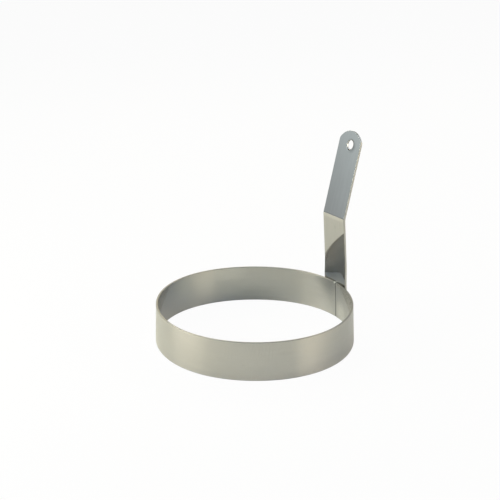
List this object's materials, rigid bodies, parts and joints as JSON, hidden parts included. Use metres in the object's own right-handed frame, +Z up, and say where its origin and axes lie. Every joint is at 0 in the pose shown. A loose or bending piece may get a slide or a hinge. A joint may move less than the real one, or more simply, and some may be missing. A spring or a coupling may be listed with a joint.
{
  "type": "egg ring",
  "caption": "Round stainless egg ring: a low rolled band with an open butt seam, and an upright strip handle with a bend and a hang hole, spot-welded over the seam.",
  "frame": {"origin": "middle of the base of the bounding box, on the surface that the ring stands on", "axes": "+Z up, square to the ring's lower edge; +X from the ring's axis towards the handle; the ring's axis is parallel to Z at about x = -5.7 mm"},
  "size_m": [0.1122, 0.102, 0.0978],
  "materials": {
    "band_steel": "satin rolled stainless sheet",
    "handle_steel": "smooth, near-mirror stainless sheet",
    "weld_metal": "fused stainless nugget between the two sheets"
  },
  "bodies": {
    "root": {"ring_band": "band_steel", "handle": "handle_steel", "spot_weld_1": "weld_metal", "spot_weld_2": "weld_metal", "spot_weld_3": "weld_metal", "spot_weld_4": "weld_metal"}
  },
  "joints": []
}
